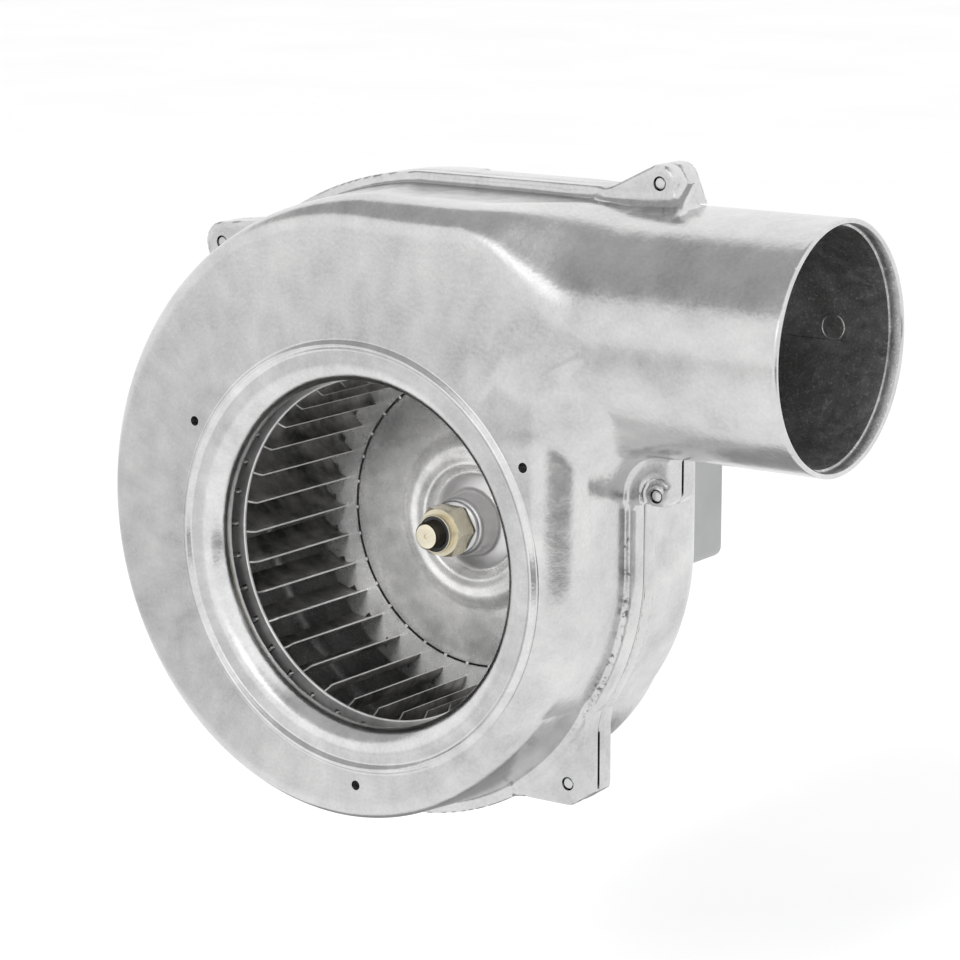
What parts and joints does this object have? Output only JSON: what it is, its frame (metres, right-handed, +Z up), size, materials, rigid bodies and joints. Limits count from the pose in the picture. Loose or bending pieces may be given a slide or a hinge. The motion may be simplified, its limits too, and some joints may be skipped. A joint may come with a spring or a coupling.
{
  "type": "combustion fan",
  "caption": "Boiler combustion fan: die-cast scroll casing with a round outlet pipe, sheet-metal impeller and an enclosed motor behind it.",
  "frame": {"origin": "centre of the round inlet, on the flat front face", "axes": "+Z up, +Y along the shaft from the inlet to the motor, +X towards the outlet pipe"},
  "size_m": [0.2659, 0.1842, 0.2279],
  "materials": {
    "cast": "as die-cast, lightly mottled, satin",
    "sheet": "aluminium-coated sheet, smooth",
    "steel": "bright zinc plated",
    "plated": "yellow passivated zinc",
    "painted": "smooth grey paint",
    "lamination": "varnished steel sheets",
    "copper": "enamelled copper wire",
    "brass": "bright",
    "graphite": "matt graphite",
    "plastic": "black, moulded",
    "fibre": "pressed gasket fibre, matt"
  },
  "bodies": {
    "casing": {"front_casing": "cast", "rear_casing": "cast", "casing_gasket": "fibre", "casing_screw_top": "steel", "casing_screw_right": "steel", "casing_screw_bottom": "steel", "casing_screw_left": "steel", "shaft_seal": "graphite", "seal_plate": "steel", "seal_screw_1": "steel", "seal_screw_2": "steel", "seal_screw_3": "steel", "motor_shield": "cast", "motor_housing": "painted", "tie_bolt_1": "steel", "tie_bolt_2": "steel", "tie_bolt_3": "steel", "tie_bolt_4": "steel", "stator_core": "lamination", "stator_winding": "copper", "front_bearing_outer": "steel", "rear_bearing_outer": "steel", "terminal_housing": "plastic", "terminal_blade_1": "brass", "terminal_blade_2": "brass", "terminal_blade_3": "brass"},
    "rotor": {"impeller_blades": "sheet", "impeller_front_ring": "sheet", "impeller_disc": "sheet", "impeller_hub": "steel", "clamp_washer": "steel", "clamp_nut": "plated", "motor_shaft": "steel", "cooling_wheel": "plastic", "motor_rotor": "lamination", "front_bearing_inner": "steel", "front_bearing_balls": "steel", "rear_bearing_inner": "steel", "rear_bearing_balls": "steel"}
  },
  "joints": [
    {"name": "impeller_spin", "type": "hinge", "parent": "casing", "child": "rotor", "pos_m": [0, 0, 0], "axis": [0, 1, 0], "continuous": true}
  ]
}
